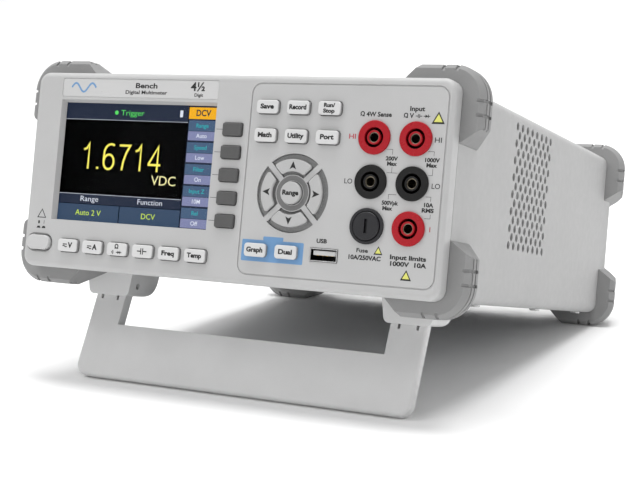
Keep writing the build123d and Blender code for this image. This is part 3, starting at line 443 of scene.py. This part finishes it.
def capacitor(ink, x, z, size, width):
    ink.line([(x - size, z), (x - size * 0.2, z)], width)
    ink.line([(x - size * 0.2, z - size * 0.55), (x - size * 0.2, z + size * 0.55)], width)
    ink.line([(x + size * 0.2, z - size * 0.55), (x + size * 0.2, z + size * 0.55)], width)
    ink.line([(x + size * 0.2, z), (x + size, z)], width)


def diode(ink, x, z, size, width):
    ink.line([(x - size, z), (x + size, z)], width)
    ink.shape([(x - size * 0.45, z - size * 0.5), (x + size * 0.35, z), (x - size * 0.45, z + size * 0.5)])
    ink.line([(x + size * 0.4, z - size * 0.5), (x + size * 0.4, z + size * 0.5)], width)


def steady_and_wave(ink, x, z, size, width):
    """The sign for direct and alternating current: a bar over a wave."""
    ink.line([(x - size, z + size * 0.4), (x + size, z + size * 0.4)], width)
    steps = [i / 8 for i in range(9)]
    wave = [(x - size + size * 2 * s, z - size * 0.4 + size * 0.25 * sin(2 * pi * s)) for s in steps]
    ink.line(wave, width)


def arrow_head(ink, turn_degrees):
    """The notched arrowhead on one arrow key; 0 points up."""
    angle = radians(turn_degrees)
    outline = ((0, 14.0), (1.6, 10.4), (0, 11.2), (-1.6, 10.4))
    ink.shape([(PAD[0] + px * cos(angle) + pz * sin(angle), PAD[1] - px * sin(angle) + pz * cos(angle))
               for px, pz in outline])


# legends on the keys; each rides on its key's body
key_legends = {
    "save_key": ("Save", KEY_X[0], KEY_ROWS[0], 6.8),
    "record_key": ("Record", KEY_X[1], KEY_ROWS[0], 8.4),
    "math_key": ("Math", KEY_X[0], KEY_ROWS[1], 7.0),
    "utility_key": ("Utility", KEY_X[1], KEY_ROWS[1], 8.0),
    "port_key": ("Port", KEY_X[2], KEY_ROWS[1], 6.6),
    "graph_key": ("Graph", KEY_X[0], KEY_ROWS[2], 8.2),
    "dual_key": ("Dual", KEY_X[1], KEY_ROWS[2], 6.8),
    "frequency_key": ("Freq", FUNCTION_X[4], FUNCTION_Z, 6.8),
    "temperature_key": ("Temp", FUNCTION_X[5], FUNCTION_Z, 7.6),
    "range_key": ("Range", PAD[0], PAD[1], 8.0),
}
for name, (text, x, z, width) in key_legends.items():
    legend = Print(name + "_legend", "dark_ink", KEY_FACE_Y, name)
    legend.words(text, x, z, 2.1, width, 0.14)
    legend.place()

legend = Print("run_stop_key_legend", "dark_ink", KEY_FACE_Y, "run_stop_key")
legend.words("Run/", KEY_X[2], KEY_ROWS[0] + 1.2, 1.7, 5.4, 0.12)
legend.words("Stop", KEY_X[2], KEY_ROWS[0] - 1.3, 1.7, 5.6, 0.12)
legend.place()

for i, (name, letter) in enumerate((("voltage_key", "V"), ("current_key", "A"))):
    legend = Print(name + "_legend", "dark_ink", KEY_FACE_Y, name)
    steady_and_wave(legend, FUNCTION_X[i] - 1.3, FUNCTION_Z, 1.2, 0.48)
    legend.words(letter, FUNCTION_X[i] + 1.7, FUNCTION_Z, 2.5, None, 0.16)
    legend.place()

legend = Print("resistance_key_legend", "dark_ink", KEY_FACE_Y, "resistance_key")
legend.words("Ω", FUNCTION_X[2], FUNCTION_Z + 1.2, 2.0, 2.1, 0.12)
diode(legend, FUNCTION_X[2] + 1.5, FUNCTION_Z - 1.4, 1.5, 0.36)
for r in (0.35, 0.8, 1.25):
    legend.line(arc(FUNCTION_X[2] - 2.8, FUNCTION_Z - 1.4, r, r, -50, 50, 5), 0.26)
legend.place()

legend = Print("capacitance_key_legend", "dark_ink", KEY_FACE_Y, "capacitance_key")
capacitor(legend, FUNCTION_X[3], FUNCTION_Z, 2.6, 0.5)
legend.place()

for name, degrees_round in (("up_key", 0), ("right_key", 90), ("down_key", 180), ("left_key", 270)):
    legend = Print(name + "_legend", "dark_ink", ARROW_FACE_Y, name)
    arrow_head(legend, degrees_round)
    legend.place()

# dark printing on the panel
ink = Print("panel_legends", "dark_ink", 0.0)
ink.words("Input", SOCKET_X[1] - 0.6, 33.4, 2.0, 6.8, 0.1)
ink.words("Ω 4W Sense", SOCKET_X[0] - 0.3, 30.6, 2.0, 14.6, 0.1)
ink.words("Ω V", SOCKET_X[1] - 4.3, 30.4, 2.0, 4.6, 0.1)
capacitor(ink, SOCKET_X[1] + 0.4, 30.4, 1.5, 0.32)
diode(ink, SOCKET_X[1] + 4.0, 30.4, 1.5, 0.32)
for text, x, z, width in (("200V", 81.4, 11.9, 5.6), ("Max", 81.6, 9.7, 4.6), ("1000V", 99.6, 11.9, 6.6),
                          ("Max", 99.6, 9.7, 4.8), ("500Vpk", 82.2, -7.0, 7.6), ("Max", 81.2, -9.3, 4.6),
                          ("10A", 99.6, -7.0, 4.2), ("RMS", 99.6, -9.3, 5.4)):
    ink.words(text, x, z, 1.7, width, 0.11)
ink.words("Fuse", 71.4, -27.9, 1.8, 5.4, 0.08)
ink.words("10A/250VAC", 72.6, -31.0, 1.9, 15.0, 0.11)
ink.words("Input limits", 92.6, -29.7, 1.9, 16.4, 0.11)
ink.words("1000V  10A", 92.6, -32.5, 1.9, 16.4, 0.11)
ink.words("USB", USB[0] - 1.5, USB[1] + 6.0, 1.8, 5.0, 0.1)
triangle = [(POWER[0] - 2.4, POWER[1] + 12.0), (POWER[0] + 2.2, POWER[1] + 12.0),
            (POWER[0] - 0.1, POWER[1] + 15.9)]
ink.line(triangle + triangle[:1], 0.4)
for side in (-1.4, 1.6):
    ink.shape([(POWER[0] + side - 1.2, POWER[1] + 6.8), (POWER[0] + side + 1.2, POWER[1] + 6.8),
               (POWER[0] + side + 0.6, POWER[1] + 7.8), (POWER[0] + side - 0.6, POWER[1] + 7.8)])
ink.line([(POWER[0] + 1.6, POWER[1] + 8.8), (POWER[0] + 1.6, POWER[1] + 10.6)], 0.25)
ink.block(POWER[0] - 1.9, POWER[0] - 0.9, POWER[1] + 8.9, POWER[1] + 10.4, 0.3)
ink.place()

# grey printing: socket names, rating brackets and the soft keys' dashes
ink = Print("panel_fine_legends", "grey_ink", 0.0)
ink.words("LO", SOCKET_X[0] - 10.6, 1.4, 2.2, 3.8, 0.05)
ink.words("LO", SOCKET_X[1] + 10.6, 1.0, 2.2, 3.8, 0.05)
ink.words("HI", SOCKET_X[1] + 10.0, 20.4, 2.2, 3.2, 0.05)
brackets = (
    [(78.6, 15.9), (81.6, 15.9), (81.6, 13.7)],
    [(79.6, 5.9), (84.6, 5.9)], [(81.9, 8.4), (81.9, 5.9)],
    [(97.6, 15.6), (100.4, 15.6), (100.4, 13.7)],
    [(98.6, 5.5), (100.4, 5.5), (100.4, 8.4)],
    [(84.9, -3.3), (81.4, -3.3), (81.4, -5.4)],
    [(98.2, -3.5), (100.6, -3.5), (100.6, -5.4)],
    [(98.4, -12.6), (101.0, -12.6), (101.0, -10.8)],
)
for points in brackets:
    ink.line(points, 0.2)
for z in SOFT_Z:
    ink.line([(SOFT_X - 8.7, z), (SOFT_X - 5.3, z)], 0.22)
ink.place()

ink = Print("panel_red_legends", "red_ink", 0.0)
ink.words("HI", SOCKET_X[0] - 10.4, 20.8, 2.2, 3.2, 0.05)
ink.words("I", SOCKET_X[1] + 9.6, -17.2, 2.2, None, 0.05)
ink.place()

# plain triangles: x, z and size
triangles = ((101.0, 29.6, 2.6), (78.9, -27.6, 1.8), (92.4, -37.2, 2.2))
for name, look, grow in (("triangle_edges", "dark_ink", 1.15), ("triangle_fields", "yellow_ink", 0.74)):
    ink = Print(name, look, 0.0 if look == "dark_ink" else -INK)
    for x, z, size in triangles:
        r = size * grow
        ink.shape([(x - r, z - r * 0.78), (x + r, z - r * 0.78), (x, z + r)])
    ink.place()

# painted shade: a darker ring round the range key, where the gap between the keys falls in shade
ink = Print("pad_hub_painted_shade", "painted_shade", 0.0)
ink.line(arc(PAD[0], PAD[1], 6.7, 6.7, 0, 360, 48), 2.2)
ink.place()

ink = Print("key_label_blue", "blue_ink", 0.0)
ink.block(13.0, 43.6, -36.2, -26.6, 0.6)
ink.block(23.4, 33.4, -26.6, -24.9, 0.4)
ink.place()

# rear panel: what each port is for
ink = Print("rear_legends", "dark_ink", REAR_Y, facing=-1)
for text, x, z, width in (("Trigger In", 52.0, -11.6, 13.0), ("Trigger Out", 78.0, -11.6, 14.6),
                          ("USB Device", 20.0, -11.0, 14.0), ("100-240 V  50/60 Hz", -62.0, 3.6, 30.0)):
    ink.words(text, x, z, 2.2, width, 0.05)
ink.place()

# name strip: a wave sign and plain words
ink = Print("name_strip_words", "dark_ink", STRIP_Y)
ink.words("Digital Multimeter", -45.2, 37.9, 1.7, 23.0, 0.06)
ink.words("Bench", -45.2, 41.0, 2.4, 12.0, 0.1)
ink.words("4½", -17.0, 40.9, 4.0, 7.6, 0.14)
ink.words("Digit", -16.6, 37.2, 1.5, 4.6, 0.06)
ink.place()
ink = Print("name_strip_wave", "blue_ink", STRIP_Y)
wave = [(-87.5 + 14 * i / 24, 39.8 + 2.1 * sin(2 * pi * i / 24 * 1.5)) for i in range(25)]
ink.line(wave, 0.9)
ink.place()

# display picture, from the back to the front
LAYER = 0.015             # step between layers of the picture
LEFT, RIGHT = -92.8, -7.6
BOTTOM, TOP = -24.0, 33.0
SIDE = -23.4              # left edge of the column of settings
fields = Print("picture_fields", "lit_navy", DISPLAY_Y - LAYER)
fields.block(LEFT, SIDE, 25.2, TOP)
fields.block(LEFT, SIDE, -15.4, -10.9)
fields.block(SIDE + 0.3, RIGHT, BOTTOM, TOP)
fields.place()
fields = Print("picture_readings", "lit_steel", DISPLAY_Y - LAYER)
fields.block(LEFT, -57.1, BOTTOM, -15.7)
fields.block(-56.6, SIDE, BOTTOM, -15.7)
fields.place()
fields = Print("picture_rules", "lit_white", DISPLAY_Y - 2 * LAYER)
fields.line([(LEFT, 25.1), (SIDE, 25.1)], 0.16)
fields.line([(LEFT, -10.8), (SIDE, -10.8)], 0.2)
fields.place()

COLUMN_MID = (SIDE + RIGHT) / 2
PAIR = 10.1               # height of one setting's title and value
titles = Print("picture_setting_titles", "lit_slate", DISPLAY_Y - 2 * LAYER)
values = Print("picture_setting_values", "lit_lilac", DISPLAY_Y - 2 * LAYER)
title_words = Print("picture_setting_title_words", "lit_teal", DISPLAY_Y - 3 * LAYER)
value_words = Print("picture_setting_value_words", "lit_white", DISPLAY_Y - 3 * LAYER)
settings = (("Range", "Auto"), ("Speed", "Low"), ("Filter", "On"), ("Input Z", "10M"), ("Rel", "Off"))
for i, (title, value) in enumerate(settings):
    z = 26.4 - PAIR * i
    titles.block(SIDE + 0.7, RIGHT - 0.5, z - 5.1, z - 0.3)
    values.block(SIDE + 0.7, RIGHT - 0.5, z - 9.5, z - 5.3, 0.4)
    title_words.words(title, COLUMN_MID, z - 2.7, 2.0, None, 0.02)
    value_words.words(value, COLUMN_MID, z - 7.4, 2.0, None, 0.02)
for group in (titles, values, title_words, value_words):
    group.place()

picture = Print("picture_mode_field", "lit_amber", DISPLAY_Y - 2 * LAYER)
picture.block(SIDE + 0.3, RIGHT, 26.8, 32.2)
picture.place()
picture = Print("picture_mode_words", "lit_navy", DISPLAY_Y - 3 * LAYER)
picture.words("DCV", COLUMN_MID, 29.5, 2.9, 7.8, 0.1)
picture.place()
picture = Print("picture_digits", "lit_yellow", DISPLAY_Y - 2 * LAYER)
reading(picture, "1.6714", -81.2, 1.4, 12.4, 1.05)
picture.place()
picture = Print("picture_unit", "lit_cream", DISPLAY_Y - 2 * LAYER)
picture.words("VDC", -33.8, -2.8, 4.6, 13.4)
picture.place()
picture = Print("picture_headings", "lit_white", DISPLAY_Y - 2 * LAYER)
picture.words("Range", -74.4, -13.1, 2.6, 10.2)
picture.words("Function", -40.2, -13.1, 2.6, 13.6)
picture.block(-28.0, -26.4, 27.4, 30.6, 0.3)
picture.place()
picture = Print("picture_values", "lit_lime", DISPLAY_Y - 2 * LAYER)
picture.words("Auto 2 V", -74.4, -19.8, 2.7, 14.6)
picture.words("DCV", -40.6, -19.8, 2.7, 7.6)
picture.place()
picture = Print("picture_trigger", "lit_green", DISPLAY_Y - 2 * LAYER)
picture.disc(-63.2, 28.7, 1.0)
picture.words("Trigger", -54.2, 28.6, 2.6, 13.0)
picture.place()


# ---- small made pieces ----------------------------------------------------------------------------
def solid_block(name, look, low, high, soften=0.1):
    """A block between two panel-frame corners, with rounded edges."""
    mesh = bmesh.new()
    bmesh.ops.create_cube(mesh, size=1.0)
    size = [b - a for a, b in zip(low, high)]
    middle = [(a + b) / 2 for a, b in zip(low, high)]
    for vertex in mesh.verts:
        vertex.co = Vector([m + c * s for m, c, s in zip(middle, vertex.co, size)])
    bmesh.ops.bevel(mesh, geom=mesh.edges, offset=soften, segments=2, affect="EDGES")
    bmesh.ops.transform(mesh, matrix=panel @ Matrix.Scale(MM, 4), verts=mesh.verts)
    data = bpy.data.meshes.new(name)
    mesh.to_mesh(data)
    mesh.free()
    piece = bpy.data.objects.new(name, data)
    bpy.context.scene.collection.objects.link(piece)
    data.materials.append(materials[look])
    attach(piece, "chassis")


# dark sheets just inside the cover behind the side vents: painted shade for the unlit inside of the case
SHADE_SHEET_X = (105.4, 106.1)  # the dark sheets' faces, just inside the cover
CONTACT_PITCH = 2.3
solid_block("usb_back", "black", (USB[0] - 5.8, 12.2, USB[1] - 2.2), (USB[0] + 5.8, 12.8, USB[1] + 2.2))
solid_block("usb_tongue", "white_plastic",
            (USB[0] - 5.4, 0.8, USB[1] - 0.1), (USB[0] + 5.4, 12.0, USB[1] + 1.9))
# painted shade: a dark sheet behind each side's vents
for side, name in ((-1, "vent_shade_sheet_left"), (1, "vent_shade_sheet_right")):
    inner, outer = sorted((side * SHADE_SHEET_X[0], side * SHADE_SHEET_X[1]))
    solid_block(name, "vent_shade", (inner, 82, -24), (outer, 156, 44), soften=0.15)
for i in range(4):
    x = USB[0] + (i - 1.5) * CONTACT_PITCH
    solid_block(f"usb_contact_{i + 1}", "gold",
                (x - 0.5, 1.4, USB[1] - 0.25), (x + 0.5, 9.0, USB[1] - 0.05), soften=0.03)


# ---- floor, light and camera ----------------------------------------------------------------------
def studio_sweep():
    """A pale floor that curves up into a back wall."""
    half_width, front, bend, r, height = 6.0, -4.0, 1.6, 1.2, 5.0
    profile = [(front, 0.0), (bend, 0.0)]
    for step in range(1, 13):
        angle = radians(90 * step / 12)
        profile.append((bend + r * sin(angle), r - r * cos(angle)))
    profile.append((bend + r, height))
    mesh = bmesh.new()
    rows = [[mesh.verts.new((x, y, z)) for y, z in profile] for x in (-half_width, half_width)]
    for i in range(len(profile) - 1):
        face = mesh.faces.new([rows[0][i], rows[1][i], rows[1][i + 1], rows[0][i + 1]])
        face.smooth = True
    data = bpy.data.meshes.new("studio_sweep")
    mesh.to_mesh(data)
    mesh.free()
    sweep = bpy.data.objects.new("studio_sweep", data)
    bpy.context.scene.collection.objects.link(sweep)
    data.materials.append(surface("sweep_paper", grey(250), 0.9, tone=0.005, tone_mm=400, edge_mm=0.1))


def soft_light(name, place, aim, size, power):
    data = bpy.data.lights.new(name, "AREA")
    data.shape = "DISK"
    data.size = size
    data.energy = power
    lamp = bpy.data.objects.new(name, data)
    lamp.location = place
    lamp.rotation_euler = (Vector(aim) - Vector(place)).to_track_quat("-Z", "Y").to_euler()
    bpy.context.scene.collection.objects.link(lamp)


studio_sweep()
soft_light("key_light", (-1.2, -1.1, 1.8), (0, 0, 0.05), 1.0, 11)
soft_light("fill_light", (1.8, -1.0, 0.9), (0, 0, 0.05), 1.6, 5)
soft_light("low_light", (-0.6, -1.9, 0.25), (0, 0.1, 0), 1.4, 4)
soft_light("wall_light", (0, 0.2, 2.6), (0, 2.4, 0.6), 2.0, 90)

world = bpy.data.worlds.new("studio")
world.use_nodes = True
world.node_tree.nodes["Background"].inputs["Color"].default_value = (1, 1, 1, 1)
world.node_tree.nodes["Background"].inputs["Strength"].default_value = 0.48
bpy.context.scene.world = world
bpy.context.scene.view_settings.view_transform = "Standard"

# the camera stands where the photograph was taken from, in the panel's frame
CAMERA_AT = Vector((299.468, -516.674, -42.448)) * MM
CAMERA_LOOKS = Vector((-0.43293136, 0.90089536, 0.03095129))
CAMERA_UP = Vector((-0.06597223, -0.06590983, 0.99564228))
looks = (turn @ CAMERA_LOOKS).normalized()
rightward = looks.cross(turn @ CAMERA_UP).normalized()
lens = bpy.data.cameras.new("camera")
lens.lens = 74.5
lens.sensor_width = 36.0
camera = bpy.data.objects.new("camera", lens)
camera.matrix_world = (Matrix.Translation(panel @ CAMERA_AT)
                       @ Matrix((rightward, rightward.cross(looks), -looks)).transposed().to_4x4())
bpy.context.scene.collection.objects.link(camera)
bpy.context.scene.camera = camera
